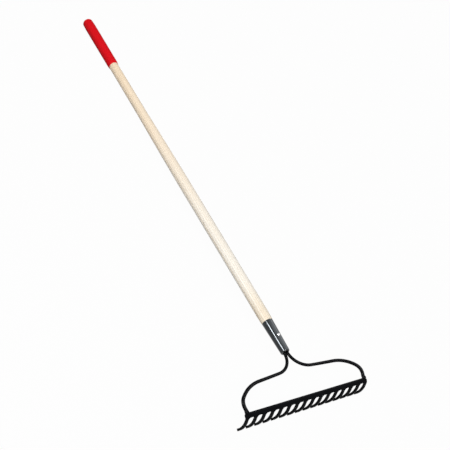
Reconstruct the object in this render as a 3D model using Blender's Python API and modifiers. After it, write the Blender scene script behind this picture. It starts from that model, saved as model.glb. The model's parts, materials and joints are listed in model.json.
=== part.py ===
"""Bow rake: a steel head on a bowed pair of rods, held by a ferrule on a long ash handle.

The rake is modelled in the head's own frame, in metres: X runs along the bar, Y from the head to the
grip, Z up, and the origin lies on the handle's axis at the low end of the ferrule. An empty then leans
the whole tool until its tines and its grip both touch the floor.
"""
import math

import bmesh
import bpy
from mathutils import Matrix, Vector

# Fits
CLEARANCE = 0.0003

# Ash handle
HANDLE_RADIUS = 0.0162
HANDLE_TOP = 1.5245
HANDLE_NOSE = 0.0125
HANDLE_TOP_ROUND = 0.003
SWELL_RADIUS = 0.0184
SWELL_LEAD = 0.26
SWELL_RISE = 0.38
FOOT_RADIUS = 0.0175
FOOT_TAPER = 0.031

# Red end grip
GRIP_RADIUS = 0.0186
GRIP_LENGTH = 0.269
GRIP_SWELL = 0.0008
GRIP_SWELL_RUN = 0.04
GRIP_END_WALL = 0.0035
GRIP_END_ROUND = 0.006
GRIP_RIM_ROUND = 0.0012

# Ferrule
FERRULE_LENGTH = 0.1035
FERRULE_TOP_RADIUS = 0.0163
FERRULE_WALL = 0.0015
FERRULE_LIP = 0.0035
FERRULE_LOW_ROUND = 0.003

# Ferrule pin
PIN_HEIGHT = 0.0503
PIN_RADIUS = 0.0018
PIN_LENGTH = 0.0085
PIN_HEAD_RADIUS = 0.0045
PIN_HEAD_HEIGHT = 0.0024

# Bow rods
TANG_RADIUS = 0.0043
TANG_OFFSET = 0.005
TANG_DEPTH = 0.0905
ROD_END_RADIUS = 0.005
BOW_END_X = 0.197
ROOT_LEAD = 0.0005
ROOT_BEND = 0.0535
ROOT_TURN = math.radians(84.4)
SWEEP_BEND = 0.105
SWEEP_TURN = math.radians(40)
SHOULDER_BEND = 0.029
SHOULDER_TURN = math.radians(63.4)
BOW_END_RUN = 0.0065
BOW_RISE = 0.0032
BOW_CREST = 0.6
BOW_END_LIFT = 0.0027

# Bar: a strip with a flat back, bent down along its front edge
BAR_DROP = 0.0107
BAR_FLAT = 0.0025
BAR_BEND = 0.0101
BAR_TURN = math.radians(72.6)
BAR_THICKNESS = 0.0056
BAR_OVERHANG = 0.0016
GAP_START = 0.0121
GAP_CORNER = 0.0065
NECK_LENGTH = 0.007

# Tines
TINE_COUNT = 16
TINE_PITCH = 0.0265
TINE_WIDTH = 0.007
TINE_CURVE = 0.079
TINE_RUN = 0.0598
TINE_TIP_THICKNESS = 0.0053

# Smoothness of round shapes
TURN_STEPS = 40
PIN_STEPS = 24
BEND_STEPS = 10
RUN_STEPS = 4
CORNER_STEPS = 4
SWELL_STEPS = 6
BAR_STEPS = 10
TINE_STEPS = 8

for old in list(bpy.data.objects):
    bpy.data.objects.remove(old, do_unlink=True)

parts = bpy.data.collections.new("bow_rake")
cutters = bpy.data.collections.new("bow_rake_cutters")
bpy.context.scene.collection.children.link(parts)
bpy.context.scene.collection.children.link(cutters)

root = bpy.data.objects.new("rake_root", None)
parts.objects.link(root)


def material(name, colour, roughness, metallic=0.0):
    """A Principled material in one plain colour."""
    made = bpy.data.materials.new(name)
    made.use_nodes = True
    shader = made.node_tree.nodes["Principled BSDF"]
    shader.inputs["Base Color"].default_value = (*colour, 1.0)
    shader.inputs["Roughness"].default_value = roughness
    shader.inputs["Metallic"].default_value = metallic
    return made


ash = material("ash_wood", (0.80, 0.66, 0.45), 0.45)
red_vinyl = material("red_vinyl", (0.62, 0.012, 0.02), 0.4)
dark_steel = material("dark_steel", (0.09, 0.09, 0.10), 0.35, 1.0)
bright_steel = material("bright_steel", (0.55, 0.55, 0.56), 0.3, 1.0)
black_paint = material("black_paint", (0.012, 0.012, 0.014), 0.45)


def place(name, data, finish, collection=parts, location=(0, 0, 0), turn=(0, 0, 0)):
    """A named object under the root, with its material, place and turn."""
    piece = bpy.data.objects.new(name, data)
    if finish:
        data.materials.append(finish)
    collection.objects.link(piece)
    piece.parent = root
    piece.location = location
    piece.rotation_euler = turn
    return piece


ALONG_HANDLE = (-math.pi / 2, 0, 0)


def arc(centre, radius, start, end, steps):
    """Points on a circle from one angle to another, both ends included."""
    angles = [start + (end - start) * i / steps for i in range(steps + 1)]
    return [(centre[0] + radius * math.cos(a), centre[1] + radius * math.sin(a)) for a in angles]


def turned(name, profile, finish, steps=TURN_STEPS, closed=False, **placing):
    """A turned piece: its (radius, height) profile runs down the outer side, spun about Z."""
    mesh = bpy.data.meshes.new(name)
    edges = [(i, i + 1) for i in range(len(profile) - 1)]
    if closed:
        edges.append((len(profile) - 1, 0))
    mesh.from_pydata([(r, 0, z) for r, z in profile], edges, [])
    piece = place(name, mesh, finish, **placing)
    spin = piece.modifiers.new("spin", "SCREW")
    spin.steps = steps
    spin.render_steps = steps
    spin.use_merge_vertices = True
    spin.merge_threshold = 0.00001
    spin.use_smooth_shade = True
    return piece


def drill(piece, name, radius, low, high, location, turn):
    """Cut a round hole from one height to another along the cutter's own Z axis."""
    mesh = bpy.data.meshes.new(name)
    shape = bmesh.new()
    lift = Matrix.Translation((0, 0, (low + high) / 2))
    bmesh.ops.create_cone(shape, cap_ends=True, segments=PIN_STEPS, radius1=radius, radius2=radius,
                          depth=high - low, matrix=lift)
    shape.to_mesh(mesh)
    shape.free()
    cutter = place(name, mesh, None, cutters, location, turn)
    cutter.hide_render = True
    cutter.display_type = "WIRE"
    cut = piece.modifiers.new(name, "BOOLEAN")
    cut.operation = "DIFFERENCE"
    cut.object = cutter


# Ferrule: a tapered steel tube, its low end turned in to a mouth around the two tangs
mouth_radius = TANG_OFFSET + TANG_RADIUS + CLEARANCE
low_radius = mouth_radius + FERRULE_LIP


def ferrule_radius(height):
    """Outer radius of the ferrule's taper at a height above its low end."""
    share = (height - FERRULE_LOW_ROUND) / (FERRULE_LENGTH - FERRULE_LOW_ROUND)
    return low_radius + (FERRULE_TOP_RADIUS - low_radius) * share


low_centre = (low_radius - FERRULE_LOW_ROUND, FERRULE_LOW_ROUND)
outer_lip = arc(low_centre, FERRULE_LOW_ROUND, 0, -math.pi / 2, CORNER_STEPS)
inner_lip = arc(low_centre, FERRULE_LOW_ROUND - FERRULE_WALL, -math.pi / 2, 0, CORNER_STEPS)
ferrule_profile = [(FERRULE_TOP_RADIUS, FERRULE_LENGTH)] + outer_lip
ferrule_profile += [(mouth_radius, 0), (mouth_radius, FERRULE_WALL)]
ferrule_profile += inner_lip + [(FERRULE_TOP_RADIUS - FERRULE_WALL, FERRULE_LENGTH)]
ferrule = turned("ferrule", ferrule_profile, dark_steel, closed=True, turn=ALONG_HANDLE)

# Ash handle: a round shaft that swells below the grip, rounds in above the ferrule and has a nose to fill it
nose_top = ferrule_radius(FERRULE_LENGTH) - FERRULE_WALL - CLEARANCE
nose_low = ferrule_radius(HANDLE_NOSE) - FERRULE_WALL - CLEARANCE
shoulder = FERRULE_LENGTH + CLEARANCE
grip_end = HANDLE_TOP + CLEARANCE + GRIP_END_WALL
grip_low = grip_end - GRIP_LENGTH
swell_top = grip_low - SWELL_LEAD
crown_centre = (HANDLE_RADIUS - HANDLE_TOP_ROUND, HANDLE_TOP - HANDLE_TOP_ROUND)
handle_profile = [(0, HANDLE_TOP)]
handle_profile += arc(crown_centre, HANDLE_TOP_ROUND, math.pi / 2, 0, CORNER_STEPS)
for i in range(SWELL_STEPS + 1):
    share = i / SWELL_STEPS
    radius = HANDLE_RADIUS + (SWELL_RADIUS - HANDLE_RADIUS) * math.sin(share * math.pi / 2)
    handle_profile.append((radius, swell_top - SWELL_RISE * share))
for i in range(SWELL_STEPS + 1):
    share = 1 - i / SWELL_STEPS
    radius = FERRULE_TOP_RADIUS + (FOOT_RADIUS - FERRULE_TOP_RADIUS) * math.sin(share * math.pi / 2)
    handle_profile.append((radius, shoulder + FOOT_TAPER * share))
handle_profile += [(nose_top, shoulder), (nose_low, HANDLE_NOSE), (0, HANDLE_NOSE)]
handle = turned("ash_handle", handle_profile, ash, turn=ALONG_HANDLE)

# End grip: a closed vinyl sleeve pulled over the far end of the handle, fullest a little below its end
grip_bore = HANDLE_RADIUS + CLEARANCE
grip_centre = (GRIP_RADIUS - GRIP_END_ROUND, grip_end - GRIP_END_ROUND)
rim_centre = (GRIP_RADIUS - GRIP_RIM_ROUND, grip_low + GRIP_RIM_ROUND)
grip_profile = [(0, grip_end)]
grip_profile += arc(grip_centre, GRIP_END_ROUND, math.pi / 2, 0, CORNER_STEPS * 2)
grip_profile.append((GRIP_RADIUS + GRIP_SWELL, grip_end - GRIP_SWELL_RUN))
grip_profile += arc(rim_centre, GRIP_RIM_ROUND, 0, -math.pi / 2, CORNER_STEPS)
grip_profile += [(grip_bore, grip_low), (grip_bore, HANDLE_TOP + CLEARANCE), (0, HANDLE_TOP + CLEARANCE)]
grip = turned("end_grip", grip_profile, red_vinyl, turn=ALONG_HANDLE)

# Ferrule pin: a domed pin driven through the ferrule's upper side into the wood, short of the tangs
pin_seat = ferrule_radius(PIN_HEIGHT + PIN_HEAD_RADIUS) + CLEARANCE
dome_radius = (PIN_HEAD_RADIUS ** 2 + PIN_HEAD_HEIGHT ** 2) / (2 * PIN_HEAD_HEIGHT)
dome_angle = math.asin(PIN_HEAD_RADIUS / dome_radius)
dome_centre = (0, PIN_HEAD_HEIGHT - dome_radius)
dome = arc(dome_centre, dome_radius, math.pi / 2, math.pi / 2 - dome_angle, CORNER_STEPS)
pin_profile = [(0, PIN_HEAD_HEIGHT)] + dome[1:] + [(PIN_RADIUS, 0), (PIN_RADIUS, -PIN_LENGTH), (0, -PIN_LENGTH)]
pin_place = (0, PIN_HEIGHT, pin_seat)
turned("ferrule_pin", pin_profile, bright_steel, steps=PIN_STEPS, location=pin_place)

# Holes for the pin and for the two tangs
pin_hole = PIN_RADIUS + CLEARANCE
tang_hole = TANG_RADIUS + CLEARANCE
pin_hole_low = -PIN_LENGTH - CLEARANCE
drill(ferrule, "ferrule_pin_hole", pin_hole, pin_hole_low, PIN_HEAD_RADIUS, pin_place, (0, 0, 0))
drill(handle, "handle_pin_hole", pin_hole, pin_hole_low, PIN_HEAD_RADIUS, pin_place, (0, 0, 0))
for side, sign in (("left", -1), ("right", 1)):
    drill(handle, "tang_hole_" + side, tang_hole, HANDLE_NOSE - TANG_RADIUS, TANG_DEPTH + CLEARANCE,
          (sign * TANG_OFFSET, 0, 0), ALONG_HANDLE)


def bow_line(run):
    """Flat centre line of the right rod, X across and Y forward, for the length of its straight run."""
    spot = Vector((TANG_OFFSET, ROOT_LEAD))
    heading = math.pi / 2
    line = [Vector((TANG_OFFSET, -TANG_DEPTH)), spot]
    bends = ((ROOT_BEND, -ROOT_TURN, run), (SWEEP_BEND, SWEEP_TURN, 0), (SHOULDER_BEND, SHOULDER_TURN, 0))
    for radius, turn, straight in bends:
        step = turn / BEND_STEPS
        for i in range(BEND_STEPS):
            chord = 2 * radius * math.sin(abs(step) / 2)
            heading += step / 2
            spot = spot + Vector((math.cos(heading), math.sin(heading))) * chord
            heading += step / 2
            line.append(spot)
        for i in range(RUN_STEPS if straight else 0):
            spot = spot + Vector((math.cos(heading), math.sin(heading))) * (straight / RUN_STEPS)
            line.append(spot)
    return line + [spot + Vector((0, BOW_END_RUN))]


# Bow rods: two round rods that leave the ferrule side by side, spread and thicken to the ends of the bar
rod_line = bow_line((BOW_END_X - bow_line(0)[-1].x) / math.sin(ROOT_TURN))
bow_depth = rod_line[-1].y + CLEARANCE
reach = [0]
for here, there in zip(rod_line[1 + BEND_STEPS:], rod_line[2 + BEND_STEPS:]):
    reach.append(reach[-1] + (there - here).length)
shares = [0] * (1 + BEND_STEPS) + [length / reach[-1] for length in reach]


def rod_height(share):
    """Height of a rod above the handle's axis: it climbs to a crest and then falls to the bar."""
    climb = min(share / BOW_CREST, 1)
    dip = max(share - BOW_CREST, 0) / (1 - BOW_CREST)
    fall = BOW_RISE + BAR_DROP - BOW_END_LIFT
    return BOW_RISE * climb ** 2 * (3 - 2 * climb) - fall * dip ** 3


for side, sign in (("left", -1), ("right", 1)):
    rod = bpy.data.curves.new("bow_rod_" + side, "CURVE")
    rod.dimensions = "3D"
    rod.bevel_depth = TANG_RADIUS
    rod.bevel_resolution = 3
    rod.use_fill_caps = True
    spline = rod.splines.new("POLY")
    spline.points.add(len(rod_line) - 1)
    spline.use_smooth = True
    for knot, point, share in zip(spline.points, rod_line, shares):
        knot.co = (sign * point.x, -point.y, rod_height(share), 1)
        knot.radius = 1 + (ROD_END_RADIUS / TANG_RADIUS - 1) * share
    place("bow_rod_" + side, rod, black_paint)


def prisms(name, outlines, depth, finish, collection=parts, **placing):
    """Flat outlines given a depth, half to each side of their own plane."""
    corners = []
    faces = []
    for outline in outlines:
        count = len(outline)
        low = len(corners)
        corners += [(x, y, -depth / 2) for x, y in outline] + [(x, y, depth / 2) for x, y in outline]
        faces.append([low + i for i in range(count)][::-1])
        faces.append([low + count + i for i in range(count)])
        for i in range(count):
            after = (i + 1) % count
            faces.append((low + i, low + after, low + count + after, low + count + i))
    mesh = bpy.data.meshes.new(name)
    mesh.from_pydata(corners, [], faces)
    shape = bmesh.new()
    shape.from_mesh(mesh)
    bmesh.ops.recalc_face_normals(shape, faces=shape.faces)
    shape.to_mesh(mesh)
    shape.free()
    return place(name, mesh, finish, collection, **placing)


# Side view of the head: the bar's flat back, the bend along its front, and the long curve of a tine
bend_length = BAR_BEND * BAR_TURN
head_length = BAR_FLAT + bend_length + TINE_RUN
neck_end = GAP_START + NECK_LENGTH


def head_point(distance, offset):
    """A point forward of and below the bar's back edge, at a distance along the head's middle."""
    turn = max(distance - BAR_FLAT, 0) / BAR_BEND
    if turn <= BAR_TURN:
        reach = BAR_BEND + offset
        return (min(distance, BAR_FLAT) + reach * math.sin(turn), BAR_BEND - reach * math.cos(turn))
    turn = BAR_TURN + (distance - BAR_FLAT - bend_length) / TINE_CURVE
    apart = TINE_CURVE - BAR_BEND
    reach = TINE_CURVE + offset
    return (BAR_FLAT - apart * math.sin(BAR_TURN) + reach * math.sin(turn),
            BAR_BEND + apart * math.cos(BAR_TURN) - reach * math.cos(turn))


def head_section(start, end, steps):
    """Outline of the head's side view between two distances along its middle."""
    front = []
    back = []
    for i in range(steps + 1):
        distance = start + (end - start) * i / steps
        thinned = max(distance - GAP_START, 0) / (head_length - GAP_START)
        half = (BAR_THICKNESS + (TINE_TIP_THICKNESS - BAR_THICKNESS) * thinned) / 2
        front.append(head_point(distance, half))
        back.append(head_point(distance, -half))
    return front + back[::-1]


# Bar: one bent strip with a short neck for each tine, and rounded gaps between and outside the necks
FORWARD_DOWN = Matrix(((0, 0, 1), (-1, 0, 0), (0, -1, 0))).to_euler()
tine_places = [(i - (TINE_COUNT - 1) / 2) * TINE_PITCH for i in range(TINE_COUNT)]
bar_end = tine_places[-1] + TINE_WIDTH / 2 + BAR_OVERHANG
bar_place = (0, -bow_depth, -BAR_DROP)
bar = prisms("head_bar", [head_section(0, neck_end, BAR_STEPS)], 2 * bar_end, black_paint,
             location=bar_place, turn=FORWARD_DOWN)

right = math.pi / 2
gaps = []
gap_sides = [tine_places[0] - TINE_PITCH] + tine_places + [tine_places[-1] + TINE_PITCH]
for here, there in zip(gap_sides, gap_sides[1:]):
    left_side = here + TINE_WIDTH / 2
    right_side = there - TINE_WIDTH / 2
    gap = arc((left_side + GAP_CORNER, GAP_CORNER), GAP_CORNER, 2 * right, 3 * right, CORNER_STEPS)
    gap += arc((right_side - GAP_CORNER, GAP_CORNER), GAP_CORNER, 3 * right, 4 * right, CORNER_STEPS)
    gaps.append(gap + [(right_side, 2 * NECK_LENGTH), (left_side, 2 * NECK_LENGTH)])
gap_turn = min((GAP_START + NECK_LENGTH / 2 - BAR_FLAT) / BAR_BEND, BAR_TURN)
gap_forward, gap_down = head_point(GAP_START, 0)
across_strip = Matrix(((1, 0, 0), (0, -math.cos(gap_turn), math.sin(gap_turn)),
                       (0, -math.sin(gap_turn), -math.cos(gap_turn)))).to_euler()
cutter = prisms("gap_cutter", gaps, 4 * BAR_THICKNESS, None, cutters, turn=across_strip,
                location=(0, -bow_depth - gap_forward, -BAR_DROP - gap_down))
cutter.hide_render = True
cutter.display_type = "WIRE"
cut = bar.modifiers.new("gaps", "BOOLEAN")
cut.operation = "DIFFERENCE"
cut.object = cutter

# Tines: flat-sided steel teeth that carry on from the necks and hook back toward the handle
tine_shape = head_section(neck_end + CLEARANCE, head_length, TINE_STEPS)
for i, x in enumerate(tine_places):
    name = "tine_%02d" % (i + 1)
    prisms(name, [tine_shape], TINE_WIDTH, black_paint, location=(x, -bow_depth, -BAR_DROP), turn=FORWARD_DOWN)

# Lean the tool until its tine tips and the rounded end of its grip rest on one level floor
tip_corners = tine_shape[TINE_STEPS:TINE_STEPS + 2]
leans = []
for forward, down in tip_corners:
    run = grip_centre[1] + bow_depth + forward
    rise = (GRIP_END_ROUND - GRIP_RADIUS) + BAR_DROP + down
    leans.append(math.atan2(rise, run) - math.asin(GRIP_END_ROUND / math.hypot(rise, run)))
root.rotation_euler.x = -max(leans)

# Stand the origin on the floor, under the middle of the tool
bpy.context.view_layer.update()
graph = bpy.context.evaluated_depsgraph_get()
corners = []
for piece in parts.objects:
    if piece.type != "EMPTY":
        shaped = piece.evaluated_get(graph)
        mesh = shaped.to_mesh()
        corners += [shaped.matrix_world @ vertex.co for vertex in mesh.vertices]
        shaped.to_mesh_clear()
near = min(corner.y for corner in corners)
far = max(corner.y for corner in corners)
root.location = (0, -(near + far) / 2, -min(corner.z for corner in corners))
bpy.context.view_layer.update()
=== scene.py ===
"""Bow rake, dressed: ash handle, red end grip, dark ferrule and a black bow head of sixteen tines."""
import json
import math

import bmesh
import bpy
from mathutils import Matrix, Vector


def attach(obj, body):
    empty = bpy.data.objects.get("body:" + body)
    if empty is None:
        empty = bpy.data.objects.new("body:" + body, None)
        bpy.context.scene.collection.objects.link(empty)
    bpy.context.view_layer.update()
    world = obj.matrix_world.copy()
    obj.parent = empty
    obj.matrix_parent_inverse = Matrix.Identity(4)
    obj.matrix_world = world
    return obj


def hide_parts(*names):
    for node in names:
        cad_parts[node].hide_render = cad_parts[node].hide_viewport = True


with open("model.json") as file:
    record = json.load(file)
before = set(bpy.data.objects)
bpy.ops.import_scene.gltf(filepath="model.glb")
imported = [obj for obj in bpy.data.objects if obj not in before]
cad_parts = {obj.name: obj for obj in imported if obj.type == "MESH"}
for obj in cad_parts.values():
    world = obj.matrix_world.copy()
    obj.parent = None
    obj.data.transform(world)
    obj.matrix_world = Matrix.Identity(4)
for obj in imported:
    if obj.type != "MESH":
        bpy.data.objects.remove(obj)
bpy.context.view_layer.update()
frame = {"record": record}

# Camera: a long lens above the tines, looking down the handle with the tool leaning
# across a square frame.
CAMERA_AZIMUTH = math.radians(-47.02)
CAMERA_ELEVATION = math.radians(42.31)
CAMERA_ROLL = math.radians(28.02)
CAMERA_AIM = Vector((0.0940, -0.1816, -0.0202))
CAMERA_DISTANCE = 2.4
CAMERA_LENS = 60.41
CAMERA_SENSOR = 36.0
FRAME_WIDTH = 450
FRAME_SHIFT = (3.5, 4.5)

lens = bpy.data.cameras.new("camera")
lens.lens = CAMERA_LENS
lens.sensor_width = CAMERA_SENSOR
lens.shift_x = FRAME_SHIFT[0] / FRAME_WIDTH
lens.shift_y = FRAME_SHIFT[1] / FRAME_WIDTH
camera = bpy.data.objects.new("camera", lens)
bpy.context.scene.collection.objects.link(camera)
turn = (Matrix.Rotation(CAMERA_AZIMUTH, 4, "Z")
        @ Matrix.Rotation(math.pi / 2 - CAMERA_ELEVATION, 4, "X")
        @ Matrix.Rotation(CAMERA_ROLL, 4, "Z"))
camera.matrix_world = (Matrix.Translation(CAMERA_AIM) @ turn
                       @ Matrix.Translation((0, 0, CAMERA_DISTANCE)))
bpy.context.scene.camera = camera

# Ash handle: a long round shaft turned from straight-grained ash and clear lacquered. It swells
# towards its middle, and its nose is tapered to drive into the ferrule. Everything is measured
# along its axis from the ferrule's low end.
TOOL_LENGTH = 1.5283
HANDLE_RADIUS = 0.0162
HANDLE_TOP = 1.5245
HANDLE_CROWN = 0.003
CROWN_STEPS = 6
HANDLE_NOSE = 0.0125
SHOULDER = 0.1038
SHOULDER_RADIUS = 0.0163
SWELL_RADIUS = 0.0184
SWELL_TOP = 0.9993
SWELL_RISE = 0.38
SWELL_STEPS = 24
FOOT_RADIUS = 0.0175
FOOT_TAPER = 0.031
FOOT_STEPS = 12
NOSE_TOP_RADIUS = 0.0145
NOSE_LOW_RADIUS = 0.0117
ROUND_SIDES = 96
SHARP_ANGLE = math.radians(38)
WARM_ASH = (0.90, 0.74, 0.55, 1)
PALE_ASH = (0.84, 0.80, 0.725, 1)
FOOT_ASH = (0.79, 0.70, 0.565, 1)
ASH_EARLYWOOD = (0.68, 0.49, 0.28, 1)
ASH_STREAK = (0.83, 0.65, 0.43, 1)
ASH_PORE = (0.42, 0.26, 0.12, 1)
RING_WIDTH = 0.0060
PITH = (0.066, 0.0, 0.044)

mounts = {mount["name"]: mount for mount in frame["record"]["mounts"]}
along = Vector(mounts["grip_end_face"]["axis"]).normalized()
low_end = Vector(mounts["grip_end_face"]["pos_m"]) - along * TOOL_LENGTH
across = Vector((1, 0, 0))
stance = Matrix((across, along, across.cross(along))).transposed().to_4x4()
stance.translation = low_end
unstance = stance.inverted()


def arc(centre, radius, start, end, steps):
    """Points on a circle from one angle to another, both ends included."""
    angles = [start + (end - start) * i / steps for i in range(steps + 1)]
    return [(centre[0] + radius * math.cos(a), centre[1] + radius * math.sin(a)) for a in angles]


def turned(profile, axis=(0, 1, 0), sides=ROUND_SIDES):
    """A turned shape about an axis, from (radius, height along the axis) pairs."""
    shape = bmesh.new()
    up = Vector(axis)
    line = [shape.verts.new(Vector((r, 0, 0)) + up * h) for r, h in profile]
    edges = [shape.edges.new(pair) for pair in zip(line, line[1:])]
    bmesh.ops.spin(shape, geom=line + edges, axis=up, cent=(0, 0, 0), steps=sides,
                   angle=2 * math.pi)
    bmesh.ops.remove_doubles(shape, verts=shape.verts, dist=0.000001)
    bmesh.ops.recalc_face_normals(shape, faces=shape.faces)
    mesh = bpy.data.meshes.new("turned")
    shape.to_mesh(mesh)
    shape.free()
    return mesh


def fitted(name, mesh, finish, slot, *nodes):
    """A finished piece: its mesh brought from the tool's axis to the floor, with its finish."""
    mesh.name = name
    mesh.transform(stance)
    mesh.materials.clear()
    mesh.materials.append(finish)
    mesh.shade_smooth()
    mesh.set_sharp_from_angle(angle=SHARP_ANGLE)
    piece = bpy.data.objects.new(name, mesh)
    bpy.context.scene.collection.objects.link(piece)
    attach(piece, "root")
    if nodes:
        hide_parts(*nodes)
    return piece


class Wire:
    """A socket in a node tree; arithmetic on it adds Math nodes."""

    def __init__(self, tree, socket=None):
        self.tree = tree
        self.socket = socket

    def node(self, kind, settings, inputs, output=0):
        """Any node: its settings first, then the values or links of its sockets."""
        made = self.tree.nodes.new(kind)
        for name, value in settings.items():
            setattr(made, name, value)
        for key, value in inputs.items():
            if isinstance(value, Wire):
                self.tree.links.new(value.socket, made.inputs[key])
            else:
                made.inputs[key].default_value = value
        return Wire(self.tree, made.outputs[output])

    def math(self, operation, first, second=0.0):
        return self.node("ShaderNodeMath", {"operation": operation}, {0: first, 1: second})

    def __add__(self, other):
        return self.math("ADD", self, other)

    def __sub__(self, other):
        return self.math("SUBTRACT", self, other)

    def __rsub__(self, other):
        return self.math("SUBTRACT", other, self)

    def __mul__(self, other):
        return self.math("MULTIPLY", self, other)

    def __truediv__(self, other):
        return self.math("DIVIDE", self, other)

    __radd__ = __add__
    __rmul__ = __mul__

    def vector(self, operation, first, second, output=0):
        return self.node("ShaderNodeVectorMath", {"operation": operation},
                         {0: first, 1: second}, output)

    def noise(self, place, stretch, detail=2.0, roughness=0.5):
        """Noise from -0.5 to 0.5 or so about zero, at so many cells a metre along each axis."""
        at = self.vector("MULTIPLY", place, stretch)
        value = self.node("ShaderNodeTexNoise", {}, {"Vector": at, "Scale": 1.0, "Detail": detail,
                                                     "Roughness": roughness})
        return value - 0.5

    def step(self, value, low, high):
        """A smooth rise from 0 to 1 as a value goes from low to high."""
        return self.node("ShaderNodeMapRange", {"interpolation_type": "SMOOTHSTEP"},
                         {"Value": value, "From Min": low, "From Max": high})

    def mix(self, share, first, second):
        """A colour between two others."""
        return self.node("ShaderNodeMix", {"data_type": "RGBA"}, {0: share, 6: first, 7: second}, 2)

    def bump(self, height, depth):
        """A normal from a height that stands for so many metres."""
        return self.node("ShaderNodeBump", {},
                         {"Height": height, "Distance": depth, "Strength": 1.0})


def finish_named(name):
    """An empty finish, its wire, and the place of a point along the tool's own axes."""
    made = bpy.data.materials.new(name)
    made.use_nodes = True
    wire = Wire(made.node_tree)
    here = wire.node("ShaderNodeTexCoord", {}, {}, "Object")
    place = wire.node("ShaderNodeMapping", {}, {"Vector": here, "Location": unstance.translation,
                                                "Rotation": unstance.to_euler()})
    return made, wire, place


def coat(made, constants, varied):
    """Set a finish's plain sockets, and link the sockets that change over the surface."""
    shader = made.node_tree.nodes["Principled BSDF"]
    for name, value in constants.items():
        shader.inputs[name].default_value = value
    for name, wire in varied.items():
        made.node_tree.links.new(wire.socket, shader.inputs[name])


ash, wire, place = finish_named("ash_wood")
drift_place = wire.vector("MULTIPLY", place, (2.5, 0.8, 2.5))
drift = wire.node("ShaderNodeTexNoise", {},
                  {"Vector": drift_place, "Scale": 1.0, "Detail": 2.0}, "Color")
drift = wire.vector("MULTIPLY", wire.vector("SUBTRACT", drift, (0.5, 0.5, 0.5)), (0.03, 0.0, 0.03))
section = wire.vector("SUBTRACT", wire.vector("MULTIPLY", place, (1, 0, 1)), PITH)
ring = wire.vector("LENGTH", wire.vector("ADD", section, drift), (0, 0, 0), "Value") / RING_WIDTH
ring = ring + wire.noise(place, (60, 3, 60)) * 0.25
phase = wire.math("FRACT", ring)
earlywood = (1 - wire.step(phase, 0.04, 0.36)) * wire.step(phase, 0.0, 0.04)
fibre = wire.noise(place, (1500, 22, 1500), 3.0, 0.6)
pores = wire.step(wire.noise(place, (2200, 34, 2200), 1.0), 0.10, 0.20) * (earlywood * 0.8 + 0.2)
height_along = wire.node("ShaderNodeSeparateXYZ", {}, {0: place}, "Y")
paler = 1 - wire.step(height_along + wire.noise(place, (8, 2, 8)) * 0.5, 0.3, 1.25)
tone = wire.mix(paler, WARM_ASH, PALE_ASH)
tone = wire.mix(1 - wire.step(height_along, 0.1, 0.26), tone, FOOT_ASH)
streaks = wire.step(wire.noise(place, (105, 1.1, 105), 2.0), 0.0, 0.24)
tone = wire.mix(streaks * 0.55, tone, ASH_STREAK)
tone = wire.mix(earlywood * 0.46 + 0.10 * fibre, tone, ASH_EARLYWOOD)
tone = wire.mix(pores * 0.40, tone, ASH_PORE)
coat(ash, {"Coat Weight": 0.07, "Coat Roughness": 0.25, "Specular IOR Level": 0.15},
     {"Base Color": tone, "Roughness": 0.44 + fibre * 0.16 + pores * 0.15,
      "Normal": wire.bump(fibre * 0.5 - pores - earlywood * 0.3, 0.00004)})

crown = (HANDLE_RADIUS - HANDLE_CROWN, HANDLE_TOP - HANDLE_CROWN)
handle_profile = [(0, HANDLE_TOP)] + arc(crown, HANDLE_CROWN, math.pi / 2, 0, CROWN_STEPS)
for i in range(SWELL_STEPS + 1):
    fullness = math.sin(i / SWELL_STEPS * math.pi / 2)
    handle_profile.append((HANDLE_RADIUS + (SWELL_RADIUS - HANDLE_RADIUS) * fullness,
                           SWELL_TOP - SWELL_RISE * i / SWELL_STEPS))
for i in range(FOOT_STEPS + 1):
    fullness = math.cos(i / FOOT_STEPS * math.pi / 2)
    handle_profile.append((SHOULDER_RADIUS + (FOOT_RADIUS - SHOULDER_RADIUS) * fullness,
                           SHOULDER + FOOT_TAPER * (1 - i / FOOT_STEPS)))
handle_profile += [(NOSE_TOP_RADIUS, SHOULDER), (NOSE_LOW_RADIUS, HANDLE_NOSE), (0, HANDLE_NOSE)]
fitted("ash_handle_turned", turned(handle_profile), ash, "ash", "ash_handle")

# Red end grip: a soft vinyl sleeve with a closed domed end, dip moulded and pulled over the top of
# the handle, where it holds by its stretch.
GRIP_RADIUS = 0.0186
GRIP_LENGTH = 0.269
GRIP_SWELL = 0.0008
GRIP_SWELL_RUN = 0.04
GRIP_SWELL_STEPS = 8
GRIP_END_ROUND = 0.006
GRIP_RIM_ROUND = 0.0007
GRIP_RIM_RADIUS = 0.0174
GRIP_RIM_TAPER = 0.014
GRIP_RIM_STEPS = 8
GRIP_BORE = 0.0165
GRIP_FLOOR = 1.5248
SCUFF_RUN = 0.012
RED = (0.72, 0.008, 0.014, 1)
DEEP_RED = (0.62, 0.005, 0.010, 1)
SCUFFED_RED = (0.72, 0.06, 0.06, 1)

red_vinyl, wire, place = finish_named("red_vinyl")
pebble = wire.noise(place, (1300, 1300, 1300), 2.0)
flow = wire.noise(place, (55, 9, 55), 3.0)
height_along = wire.node("ShaderNodeSeparateXYZ", {}, {0: place}, "Y")
end_share = wire.step(height_along, TOOL_LENGTH - SCUFF_RUN, TOOL_LENGTH)
scuff = wire.step(wire.noise(place, (240, 160, 240), 4.0, 0.65), 0.06, 0.24) * (end_share * 0.5 + 0.08)
tone = wire.mix(0.5 + flow * 0.9, DEEP_RED, RED)
coat(red_vinyl, {"Specular IOR Level": 0.0, "Coat Roughness": 0.4},
     {"Base Color": wire.mix(scuff, tone, SCUFFED_RED),
      "Roughness": 0.52 + flow * 0.14 + scuff * 0.2,
      "Coat Weight": 0.08 + flow * 0.06 - scuff * 0.06,
      "Normal": wire.bump(pebble + flow * 1.5, 0.00009)})

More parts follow.
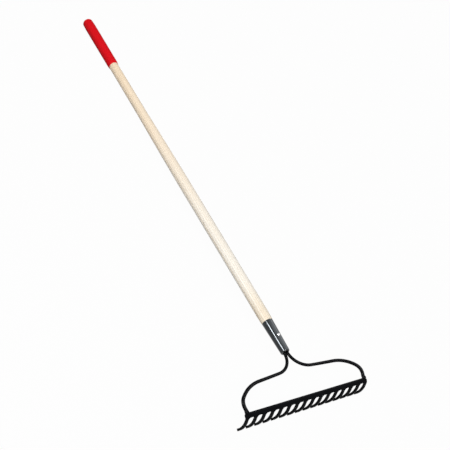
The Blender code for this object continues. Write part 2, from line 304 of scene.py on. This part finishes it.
grip_low = TOOL_LENGTH - GRIP_LENGTH
dome = (GRIP_RADIUS - GRIP_END_ROUND, TOOL_LENGTH - GRIP_END_ROUND)
rim = (GRIP_RIM_RADIUS - GRIP_RIM_ROUND, grip_low + GRIP_RIM_ROUND)
grip_profile = [(0, TOOL_LENGTH), (dome[0] / 2, TOOL_LENGTH)]
grip_profile += arc(dome, GRIP_END_ROUND, math.pi / 2, 0, 10)
for i in range(1, GRIP_SWELL_STEPS + 1):
    ease = (1 - math.cos(math.pi * i / GRIP_SWELL_STEPS)) / 2
    grip_profile.append((GRIP_RADIUS + GRIP_SWELL * ease,
                         dome[1] - (GRIP_SWELL_RUN - GRIP_END_ROUND) * i / GRIP_SWELL_STEPS))
for i in range(GRIP_RIM_STEPS + 1):
    ease = (1 - math.cos(math.pi * i / GRIP_RIM_STEPS)) / 2
    grip_profile.append((GRIP_RADIUS - (GRIP_RADIUS - GRIP_RIM_RADIUS) * ease,
                         grip_low + GRIP_RIM_TAPER * (1 - i / (GRIP_RIM_STEPS + 1))))
grip_profile += arc(rim, GRIP_RIM_ROUND, 0, -math.pi / 2, 6)
grip_profile += [(GRIP_BORE, grip_low), (GRIP_BORE, GRIP_FLOOR), (0, GRIP_FLOOR)]
fitted("red_grip_sleeve", turned(grip_profile), red_vinyl, "red_vinyl", "end_grip")

# Ferrule: a steel tube drawn to a taper and darkened, its low end turned in to a lip round the
# two tangs of the bow. It is pressed over the nose of the handle.
FERRULE_LENGTH = 0.1035
FERRULE_TOP_RADIUS = 0.0163
FERRULE_LOW_RADIUS = 0.0131
FERRULE_WALL = 0.0015
FERRULE_MOUTH = 0.0096
MOUTH_CHAMFER = 0.0004
FERRULE_LOW_ROUND = 0.003
FERRULE_TOP_ROUND = 0.0006
WORN_TOP = (0.0016, 0.0002)
WORN_LOW = (0.0002, 0.0022)
GUNMETAL = (0.0285, 0.0315, 0.034, 1)
GUNMETAL_STREAK = (0.049, 0.053, 0.056, 1)
WORN_STEEL = (0.30, 0.30, 0.31, 1)


def ferrule_radius(height):
    """Outer radius of the ferrule's taper at a height above its low end."""
    share = (height - FERRULE_LOW_ROUND) / (FERRULE_LENGTH - FERRULE_LOW_ROUND)
    return FERRULE_LOW_RADIUS + (FERRULE_TOP_RADIUS - FERRULE_LOW_RADIUS) * share


dark_steel, wire, place = finish_named("dark_steel")
drawn = wire.noise(place, (900, 9, 900), 3.0, 0.6)
clouds = wire.noise(place, (90, 60, 90), 3.0)
height_along = wire.node("ShaderNodeSeparateXYZ", {}, {0: place}, "Y")
rub = wire.noise(place, (500, 700, 500), 2.0)
at_top = wire.step(height_along, FERRULE_LENGTH - WORN_TOP[0], FERRULE_LENGTH - WORN_TOP[1])
at_low = 1 - wire.step(height_along, *WORN_LOW)
worn = (at_top + at_low) * wire.step(rub, -0.10, 0.16)
tone = wire.mix(0.5 + drawn * 0.9 + clouds * 0.5, GUNMETAL, GUNMETAL_STREAK)
coat(dark_steel, {"Metallic": 1.0},
     {"Base Color": wire.mix(worn * 0.6, tone, WORN_STEEL),
      "Roughness": 0.15 + drawn * 0.06 + clouds * 0.04,
      "Normal": wire.bump(drawn, 0.00001)})

low_centre = (FERRULE_LOW_RADIUS - FERRULE_LOW_ROUND, FERRULE_LOW_ROUND)
top_centre = (FERRULE_TOP_RADIUS - FERRULE_TOP_ROUND, FERRULE_LENGTH - FERRULE_TOP_ROUND)
ferrule_profile = arc(top_centre, FERRULE_TOP_ROUND, math.pi / 2, 0, 5)
ferrule_profile += arc(low_centre, FERRULE_LOW_ROUND, 0, -math.pi / 2, 8)
ferrule_profile += [(FERRULE_MOUTH + MOUTH_CHAMFER, 0), (FERRULE_MOUTH, MOUTH_CHAMFER),
                    (FERRULE_MOUTH, FERRULE_WALL)]
ferrule_profile += arc(low_centre, FERRULE_LOW_ROUND - FERRULE_WALL, -math.pi / 2, 0, 6)
ferrule_profile += [(FERRULE_TOP_RADIUS - FERRULE_WALL, FERRULE_LENGTH), ferrule_profile[0]]
fitted("ferrule_tube", turned(ferrule_profile), dark_steel, "dark_steel", "ferrule")

# Ferrule pin: a bright domed steel pin, driven through the ferrule's upper side into the wood to
# keep the ferrule from working off.
PIN_HEIGHT = 0.0503
PIN_RADIUS = 0.0018
PIN_LENGTH = 0.0085
PIN_HEAD_RADIUS = 0.0045
PIN_HEAD_HEIGHT = 0.0024
PIN_HEAD_EDGE = 0.0004
PIN_HEAD_SKIRT = 0.0002
PIN_SIDES = 48
PIN_FIT = 0.0003
BRIGHT_STEEL = (0.62, 0.62, 0.63, 1)
DULL_STEEL = (0.42, 0.42, 0.44, 1)

bright_steel, wire, place = finish_named("bright_steel")
struck = wire.noise(place, (700, 700, 700), 2.0)
fine = wire.noise(place, (2600, 2600, 2600), 2.0)
coat(bright_steel, {"Metallic": 1.0},
     {"Base Color": wire.mix(0.5 + struck, DULL_STEEL, BRIGHT_STEEL),
      "Roughness": 0.26 + struck * 0.2 + fine * 0.1,
      "Normal": wire.bump(struck + fine * 0.3, 0.00010)})

dome_radius = (PIN_HEAD_RADIUS ** 2 + PIN_HEAD_HEIGHT ** 2) / (2 * PIN_HEAD_HEIGHT)
dome_angle = math.asin(PIN_HEAD_RADIUS / dome_radius)
dome_centre = (0, PIN_HEAD_HEIGHT - dome_radius)
pin_profile = arc(dome_centre, dome_radius, math.pi / 2, math.pi / 2 - dome_angle, 10)
pin_profile += [(PIN_HEAD_RADIUS - PIN_HEAD_EDGE, -PIN_HEAD_SKIRT), (PIN_RADIUS, -PIN_HEAD_SKIRT),
                (PIN_RADIUS, -PIN_LENGTH), (0, -PIN_LENGTH)]
pin = turned(pin_profile, axis=(0, 0, 1), sides=PIN_SIDES)
pin_seat = ferrule_radius(PIN_HEIGHT + PIN_HEAD_RADIUS) + PIN_FIT
pin.transform(Matrix.Translation((0, PIN_HEIGHT, pin_seat)))
fitted("ferrule_pin_dome", pin, bright_steel, "bright_steel", "ferrule_pin")

# Bow: two round steel rods that leave the ferrule side by side, spread in a bow and run down to the
# ends of the bar, a little thicker there. Bent cold, welded to the bar and powder coated with it.
TANG_RADIUS = 0.0043
TANG_OFFSET = 0.005
TANG_DEPTH = 0.0905
ROD_END_RADIUS = 0.005
BOW_END_X = 0.197
ROOT_LEAD = 0.0005
BOW_END_RUN = 0.0065
BOW_END_LIFT = 0.0027
BOW_RISE = 0.0032
BOW_CREST = 0.6
BAR_DROP = 0.0107
ROOT_TURN = math.radians(84.4)
BENDS = ((0.0535, -ROOT_TURN), (0.105, math.radians(40)), (0.029, math.radians(63.4)))
BEND_STEPS = 24
RUN_STEPS = 20
END_STEPS = 6
ROD_SIDES = 28
BAR_GAP = 0.0003
BLACK = (0.0012, 0.0013, 0.0018, 1)
SOFT_BLACK = (0.0030, 0.0031, 0.0042, 1)

black_paint, wire, place = finish_named("black_paint")
powder = wire.noise(place, (950, 950, 950), 2.0)
grit = wire.noise(place, (4200, 4200, 4200), 1.0)
clouds = wire.noise(place, (38, 38, 38), 3.0)
coat(black_paint, {"Specular IOR Level": 0.008, "Coat Roughness": 0.14},
     {"Base Color": wire.mix(0.5 + clouds * 0.9 + grit * 0.4, BLACK, SOFT_BLACK),
      "Roughness": 0.52 + clouds * 0.14 + grit * 0.10,
      "Coat Weight": 0.055 + clouds * 0.04 + grit * 0.02,
      "Normal": wire.bump(powder + grit * 0.25, 0.00010)})


def tree_with(name, sizes):
    """A new tree with a geometry input and named inputs for its sizes."""
    tree = bpy.data.node_groups.new(name, "GeometryNodeTree")
    tree.interface.new_socket("Geometry", in_out="INPUT", socket_type="NodeSocketGeometry")
    for label, kind in sizes.items():
        tree.interface.new_socket(label, in_out="INPUT", socket_type="NodeSocket" + kind)
    tree.interface.new_socket("Geometry", in_out="OUTPUT", socket_type="NodeSocketGeometry")
    start = tree.nodes.new("NodeGroupInput")
    return tree, {socket.name: Wire(tree, socket) for socket in start.outputs if socket.name}


def close_tree(tree, shape, finish):
    """End a tree: instances made real, and the finish set."""
    real = shape.node("GeometryNodeRealizeInstances", {}, {"Geometry": shape})
    dressed = real.node("GeometryNodeSetMaterial", {}, {"Geometry": real, "Material": finish})
    tree.links.new(dressed.socket, tree.nodes.new("NodeGroupOutput").inputs[0])


def grown(tree, base, sizes):
    """The plain mesh that a tree makes from a base mesh and its sizes."""
    maker = bpy.data.objects.new("maker", base)
    bpy.context.scene.collection.objects.link(maker)
    grow = maker.modifiers.new("grow", "NODES")
    grow.node_group = tree
    for socket in tree.interface.items_tree:
        if socket.in_out == "INPUT" and socket.name in sizes:
            grow[socket.identifier] = sizes[socket.name]
    graph = bpy.context.evaluated_depsgraph_get()
    mesh = bpy.data.meshes.new_from_object(maker.evaluated_get(graph))
    bpy.data.objects.remove(maker)
    return mesh


rod_tree, sizes = tree_with("bent_rod", {"Radius": "Float", "Sides": "Int", "Finish": "Material"})
path = sizes["Geometry"].node("GeometryNodeMeshToCurve", {}, {"Mesh": sizes["Geometry"]})
swell = path.node("GeometryNodeInputNamedAttribute", {"data_type": "FLOAT"}, {"Name": "swell"})
ring = path.node("GeometryNodeCurvePrimitiveCircle", {},
                 {"Resolution": sizes["Sides"], "Radius": sizes["Radius"]})
tube = path.node("GeometryNodeCurveToMesh", {},
                 {"Curve": path, "Profile Curve": ring, "Scale": swell, "Fill Caps": True})
close_tree(rod_tree, tube, sizes["Finish"])


def bow_line(run):
    """Flat centre line of the right rod, X across and Y forward, for one length of straight run."""
    spot = Vector((TANG_OFFSET, ROOT_LEAD))
    heading = math.pi / 2
    line = [Vector((TANG_OFFSET, -TANG_DEPTH)), spot]
    for (radius, turn), straight in zip(BENDS, (run, 0, 0)):
        step = turn / BEND_STEPS
        for i in range(BEND_STEPS):
            chord = 2 * radius * math.sin(abs(step) / 2)
            heading += step / 2
            spot = spot + Vector((math.cos(heading), math.sin(heading))) * chord
            heading += step / 2
            line.append(spot)
        for i in range(RUN_STEPS if straight else 0):
            spot = spot + Vector((math.cos(heading), math.sin(heading))) * (straight / RUN_STEPS)
            line.append(spot)
    return line + [spot + Vector((0, BOW_END_RUN * i / END_STEPS)) for i in range(1, END_STEPS + 1)]


def rod_height(share):
    """Height of a rod above the handle's axis: it climbs to a crest and then falls to the bar."""
    climb = min(share / BOW_CREST, 1)
    dip = max(share - BOW_CREST, 0) / (1 - BOW_CREST)
    fall = BOW_RISE + BAR_DROP - BOW_END_LIFT
    return BOW_RISE * climb ** 2 * (3 - 2 * climb) - fall * dip ** 3


rod_line = bow_line((BOW_END_X - bow_line(0)[-1].x) / math.sin(ROOT_TURN))
bow_depth = rod_line[-1].y + BAR_GAP
reach = [0]
for here, there in zip(rod_line[1 + BEND_STEPS:], rod_line[2 + BEND_STEPS:]):
    reach.append(reach[-1] + (there - here).length)
shares = [0] * (1 + BEND_STEPS) + [length / reach[-1] for length in reach]
bow_rods = []
for side, sign in (("left", -1), ("right", 1)):
    line = bpy.data.meshes.new("rod_line")
    knots = [(sign * point.x, -point.y, rod_height(share)) for point, share in zip(rod_line, shares)]
    line.from_pydata(knots, [(i, i + 1) for i in range(len(knots) - 1)], [])
    swelling = line.attributes.new("swell", "FLOAT", "POINT")
    for i, share in enumerate(shares):
        swelling.data[i].value = 1 + (ROD_END_RADIUS / TANG_RADIUS - 1) * share
    rod = grown(rod_tree, line, {"Radius": TANG_RADIUS, "Sides": ROD_SIDES, "Finish": black_paint})
    bow_rods.append(fitted("bow_" + side, rod, black_paint, "black_paint", "bow_rod_" + side))

# Head: a flat steel bar and sixteen flat tines in one comb, cut with rounded gaps, bent down at the
# front and hooked back a little at the tips. Black powder coated with the bow.
TINE_COUNT = 16
TINE_PITCH = 0.0265
TINE_HALF_WIDTH = 0.0035
TIP_HALF_WIDTH = 0.0034
BAR_OVERHANG = 0.0016
CORNER_RUN = 0.007
CORNER_CUT = 0.004
END_FLOW = (0.006, 0.0175)
GAP_START = 0.0121
GAP_FILLET = 0.0065
BAR_THICKNESS = 0.0056
TIP_THICKNESS = 0.0065
BAR_FLAT = 0.0025
BAR_BEND = 0.0101
BAR_TURN = math.radians(72.6)
TINE_CURVE = 0.079
TINE_RUN = 0.0596
BAR_ROWS = 12
FILLET_ROWS = 8
TINE_ROWS = 22
TINE_COLUMNS = 5
THICKENING = 0.75
MERGE_DISTANCE = 0.00002
EDGE_ROUND = 0.0009
EDGE_SEGMENTS = 3
EDGE_ANGLE = math.radians(40)
bend_run = BAR_BEND * BAR_TURN
head_run = BAR_FLAT + bend_run + TINE_RUN


def head_place(s):
    """Where the head's middle surface is, (y, z), at a distance along it from the bar's back edge."""
    turn = max(s - BAR_FLAT, 0) / BAR_BEND
    forward = min(s, BAR_FLAT) + BAR_BEND * math.sin(turn)
    down = BAR_BEND * (1 - math.cos(turn))
    if turn > BAR_TURN:
        turn = BAR_TURN + (s - BAR_FLAT - bend_run) / TINE_CURVE
        apart = TINE_CURVE - BAR_BEND
        forward = BAR_FLAT - apart * math.sin(BAR_TURN) + TINE_CURVE * math.sin(turn)
        down = BAR_BEND + apart * math.cos(BAR_TURN) - TINE_CURVE * math.cos(turn)
    return -bow_depth - forward, -BAR_DROP - down


def tine_unit():
    """One pitch of the head as a sheet: its share of the bar, and a tine with its two gap fillets."""
    rows = [GAP_START * i / BAR_ROWS for i in range(BAR_ROWS + 1)]
    quarter = [i / FILLET_ROWS * math.pi / 2 for i in range(1, FILLET_ROWS + 1)]
    rows += [GAP_START + GAP_FILLET * (1 - math.cos(angle)) for angle in quarter]
    straight = GAP_START + GAP_FILLET
    rows += [straight + (head_run - straight) * i / TINE_ROWS for i in range(1, TINE_ROWS + 1)]
    unit = bmesh.new()
    along_head = unit.verts.layers.float.new("along_head")
    grid = []
    for s in rows:
        inner = TINE_HALF_WIDTH
        if s > straight:
            share = (s - straight) / (head_run - straight)
            inner += (TIP_HALF_WIDTH - TINE_HALF_WIDTH) * share
        outer = inner
        if s < straight:
            deep = max(s - GAP_START, 0)
            outer += GAP_FILLET - math.sqrt(GAP_FILLET ** 2 - (GAP_FILLET - deep) ** 2)
        half = [0, inner / 2, inner]
        if s < straight:
            half += [(inner + outer) / 2, outer]
        if s <= GAP_START:
            half.append(TINE_PITCH / 2)
        y, z = head_place(s)
        line = []
        for x in [-x for x in half[:0:-1]] + half:
            knot = unit.verts.new((x, y, z))
            knot[along_head] = s / head_run
            line.append(knot)
        grid.append(line)
    for upper, lower in zip(grid, grid[1:]):
        spare = (len(upper) - len(lower)) // 2
        shared = upper[spare:len(upper) - spare] if spare else upper
        for i in range(len(lower) - 1):
            unit.faces.new((shared[i], shared[i + 1], lower[i + 1], lower[i]))
        if 0 < spare and len(lower) == TINE_COLUMNS:
            unit.faces.new((upper[0], upper[1], upper[2], lower[0]))
            unit.faces.new((upper[-1], lower[-1], upper[-3], upper[-2]))
    mesh = bpy.data.meshes.new("tine_unit")
    unit.to_mesh(mesh)
    unit.free()
    return mesh


comb_tree, sizes = tree_with("comb", {
    "Count": "Int", "Pitch": "Float", "Half Length": "Float", "Overhang": "Float",
    "Flow Start": "Float", "Flow End": "Float", "Corner Share": "Float", "Corner Cut": "Float",
    "Finish": "Material"})
unit = sizes["Geometry"]
first = unit.node("ShaderNodeCombineXYZ", {}, {"X": (1 - sizes["Count"]) * sizes["Pitch"] * 0.5})
stride = unit.node("ShaderNodeCombineXYZ", {}, {"X": sizes["Pitch"]})
stations = unit.node("GeometryNodeMeshLine", {"mode": "OFFSET"},
                     {"Count": sizes["Count"], "Start Location": first, "Offset": stride})
row = unit.node("GeometryNodeInstanceOnPoints", {}, {"Points": stations, "Instance": unit})
row = unit.node("GeometryNodeRealizeInstances", {}, {"Geometry": row})
spot = unit.node("GeometryNodeInputPosition", {}, {})
share = unit.node("GeometryNodeInputNamedAttribute", {"data_type": "FLOAT"}, {"Name": "along_head"})
left = 1 - unit.math("MINIMUM", share / sizes["Corner Share"], 1.0)
round_off = 1 - unit.math("SQRT", unit.math("MAXIMUM", 1 - left * left, 0.0))
flow = unit.step(share, sizes["Flow Start"], sizes["Flow End"])
reach_out = sizes["Half Length"] - sizes["Overhang"] * flow - sizes["Corner Cut"] * round_off
end = unit.node("ShaderNodeCombineXYZ", {}, {"X": reach_out, "Y": 1.0, "Z": 1.0})
far_end = unit.vector("MULTIPLY", end, (-1, -1, -1))
trimmed = unit.vector("MINIMUM", end, unit.vector("MAXIMUM", spot, far_end))
row = unit.node("GeometryNodeSetPosition", {}, {"Geometry": row, "Position": trimmed})
row = unit.node("GeometryNodeMergeByDistance", {}, {"Geometry": row, "Distance": MERGE_DISTANCE})
close_tree(comb_tree, row, sizes["Finish"])

half_length = (TINE_COUNT - 1) / 2 * TINE_PITCH + TINE_HALF_WIDTH + BAR_OVERHANG
comb = grown(comb_tree, tine_unit(), {
    "Count": TINE_COUNT, "Pitch": TINE_PITCH, "Half Length": half_length, "Overhang": BAR_OVERHANG,
    "Flow Start": END_FLOW[0] / head_run, "Flow End": END_FLOW[1] / head_run,
    "Corner Share": CORNER_RUN / head_run, "Corner Cut": CORNER_CUT, "Finish": black_paint})
maker = bpy.data.objects.new("comb_maker", comb)
bpy.context.scene.collection.objects.link(maker)
thick = maker.vertex_groups.new(name="thick")
for i, share in enumerate(comb.attributes["along_head"].data):
    thin = (1 - BAR_THICKNESS / TIP_THICKNESS) * min((1 - share.value) / THICKENING, 1)
    thick.add([i], 1 - thin, "REPLACE")
wall = maker.modifiers.new("wall", "SOLIDIFY")
wall.thickness = TIP_THICKNESS
wall.offset = 0
wall.vertex_group = "thick"
soften = maker.modifiers.new("soften", "BEVEL")
soften.width = EDGE_ROUND
soften.segments = EDGE_SEGMENTS
soften.limit_method = "ANGLE"
soften.angle_limit = EDGE_ANGLE
head = bpy.data.meshes.new_from_object(maker.evaluated_get(bpy.context.evaluated_depsgraph_get()))
bpy.data.objects.remove(maker)
tines = ["tine_%02d" % (i + 1) for i in range(TINE_COUNT)]
fitted("head_comb", head, black_paint, "black_paint", "head_bar", *tines)

# Welds: where each rod meets the back of the bar, a short row of overlapping weld beads that widens
# from the rod on to the bar, painted over with the rest.
WELD_BEADS = 9
WELD_STEP = 0.0010
WELD_FALL = 0.00010
BEAD_HALF_WIDTH = 0.0064
BEAD_NARROWEST = 0.72
BEAD_SHAPE = (1.0, 0.75, 0.86)
BEAD_SEGMENTS = 40
BEAD_RINGS = 20
BEAD_UNEVEN = (0.97, 1.03)
BEAD_SEED = 7
WELD_START = 0.0076
WELD_SHIFT = 0.0012
WELD_LIFT = 0.0006

weld_tree, sizes = tree_with("weld_row", {
    "Beads": "Int", "Step": "Float", "Fall": "Float", "Half Width": "Float", "Narrowest": "Float",
    "Shape": "Vector", "Finish": "Material"})
start = sizes["Geometry"]
stride = start.node("ShaderNodeCombineXYZ", {}, {"Y": 0 - sizes["Step"], "Z": 0 - sizes["Fall"]})
row = start.node("GeometryNodeMeshLine", {"mode": "OFFSET"},
                 {"Count": sizes["Beads"], "Offset": stride})
bead = start.node("GeometryNodeMeshUVSphere", {},
                  {"Segments": BEAD_SEGMENTS, "Rings": BEAD_RINGS, "Radius": sizes["Half Width"]})
share = start.node("GeometryNodeInputIndex", {}, {}) / (sizes["Beads"] - 1)
widening = sizes["Narrowest"] + (1 - sizes["Narrowest"]) * start.step(share, 0.0, 1.0)
uneven = start.node("FunctionNodeRandomValue", {"data_type": "FLOAT"},
                    {"Min": BEAD_UNEVEN[0], "Max": BEAD_UNEVEN[1], "Seed": BEAD_SEED}, 1)
size = start.node("ShaderNodeVectorMath", {"operation": "SCALE"},
                  {0: sizes["Shape"], "Scale": widening * uneven})
beads = start.node("GeometryNodeInstanceOnPoints", {}, {"Points": row, "Instance": bead, "Scale": size})
close_tree(weld_tree, beads, sizes["Finish"])
for side, sign in (("left", -1), ("right", 1)):
    weld = grown(weld_tree, bpy.data.meshes.new("weld"), {
        "Beads": WELD_BEADS, "Step": WELD_STEP, "Fall": WELD_FALL, "Half Width": BEAD_HALF_WIDTH,
        "Narrowest": BEAD_NARROWEST, "Shape": BEAD_SHAPE, "Finish": black_paint})
    weld.transform(Matrix.Translation((sign * BOW_END_X + WELD_SHIFT, WELD_START - bow_depth,
                                       BOW_END_LIFT + WELD_LIFT - BAR_DROP)))
    fitted("weld_" + side, weld, black_paint, "black_paint")

# Floor: a plain pale studio floor, white where the camera or a shine sees it, that still takes the
# shadow of the rake.
FLOOR_HALF = 9.0
FLOOR_GREY = (0.36, 0.36, 0.36, 1)
FLOOR_WHITE_SHARE = 0.975

floor_mesh = bpy.data.meshes.new("floor")
floor_mesh.from_pydata([(-FLOOR_HALF, -FLOOR_HALF, 0), (FLOOR_HALF, -FLOOR_HALF, 0),
                        (FLOOR_HALF, FLOOR_HALF, 0), (-FLOOR_HALF, FLOOR_HALF, 0)], [], [(0, 1, 2, 3)])
floor = bpy.data.objects.new("floor", floor_mesh)
bpy.context.scene.collection.objects.link(floor)
pale = bpy.data.materials.new("pale_floor")
pale.use_nodes = True
floor_mesh.materials.append(pale)


def seen_plainly(wire):
    """1 where the camera, a shine or a clear piece looks, and 0 where light falls."""
    seen = wire.node("ShaderNodeLightPath", {}, {}, "Is Camera Ray")
    rays = seen.socket.node.outputs
    seen = wire.math("MAXIMUM", seen, Wire(wire.tree, rays["Is Glossy Ray"]))
    return wire.math("MAXIMUM", seen, Wire(wire.tree, rays["Is Transmission Ray"]))


wire = Wire(pale.node_tree)
matt = wire.node("ShaderNodeBsdfDiffuse", {}, {"Color": FLOOR_GREY})
white = wire.node("ShaderNodeEmission", {}, {"Color": (1, 1, 1, 1), "Strength": 1.0})
white_share = seen_plainly(wire) * FLOOR_WHITE_SHARE
blend = wire.node("ShaderNodeMixShader", {}, {0: white_share, 1: matt, 2: white})
pale.node_tree.links.new(blend.socket, pale.node_tree.nodes["Material Output"].inputs["Surface"])

# Studio light: an even pale room, a wide softbox high overhead, and a soft panel to the left of the
# handle. The cards show only in shine: four draw the bands on the ferrule, and the last one, kept to
# the bow's two rods, draws their streaks.
ROOM_LIGHT = 0.12
TOOL_MIDDLE = Vector((0, 0, 0.05))
FERRULE_MIDDLE = Vector((0, -0.64, 0.07))
BOW_MIDDLE = Vector((0, -0.74, 0.07))
HANDLE_MIDDLE = Vector((0, -0.25, 0.05))
# What each lamp is aimed at, the way to it from there, its distance, size and radiance, and its use.
LAMPS = {
    "key_softbox": (TOOL_MIDDLE, (-0.222, -0.406, 0.886), 20.0, (10.3, 10.3), 12.8, "both"),
    "fill_panel": (HANDLE_MIDDLE, (-0.90, -0.20, 0.33), 1.2, (0.6, 1.0), 1.9, "soft"),
    "line_card": (FERRULE_MIDDLE, (-0.745, 0.301, 0.595), 3.5, (0.50, 1.8), 49, "shine"),
    "top_card": (FERRULE_MIDDLE, (0.033, 0.306, 0.949), 3.5, (1.9, 1.8), 1.3, "shine"),
    "upper_right_card": (FERRULE_MIDDLE, (0.503, 0.306, 0.806), 3.5, (1.9, 1.8), 1.7, "shine"),
    "right_card": (FERRULE_MIDDLE, (0.823, 0.306, 0.475), 3.5, (1.7, 1.8), 2.5, "shine"),
    "bow_card": (BOW_MIDDLE, (0.62, -0.10, 0.78), 3.5, (1.7, 0.6), 24, "rods"),
}

room = bpy.data.worlds.new("room")
bpy.context.scene.world = room
room.use_nodes = True
wire = Wire(room.node_tree)
backdrop = room.node_tree.nodes["Background"]
backdrop.inputs["Color"].default_value = (1, 1, 1, 1)
strength = ROOM_LIGHT + seen_plainly(wire) * (1 - ROOM_LIGHT)
room.node_tree.links.new(strength.socket, backdrop.inputs["Strength"])

rods_alone = bpy.data.collections.new("bow_rods")
for rod in bow_rods:
    rods_alone.objects.link(rod)

for name, (target, direction, distance, size, radiance, use) in LAMPS.items():
    lamp = bpy.data.lights.new(name, "AREA")
    lamp.shape = "RECTANGLE"
    lamp.size, lamp.size_y = size
    lamp.energy = radiance * math.pi * size[0] * size[1]
    holder = bpy.data.objects.new(name, lamp)
    bpy.context.scene.collection.objects.link(holder)
    holder.visible_diffuse = use in ("both", "soft")
    holder.visible_glossy = use != "soft"
    holder.visible_camera = False
    if use == "rods":
        holder.light_linking.receiver_collection = rods_alone
    toward = Vector(direction).normalized()
    sideways = Vector((0, 1, 0)).cross(toward).normalized()
    upright = toward.cross(sideways)
    aim = Matrix((sideways, upright, toward)).transposed().to_4x4()
    aim.translation = target + toward * distance
    holder.matrix_world = aim

bpy.context.scene.view_settings.view_transform = "Standard"
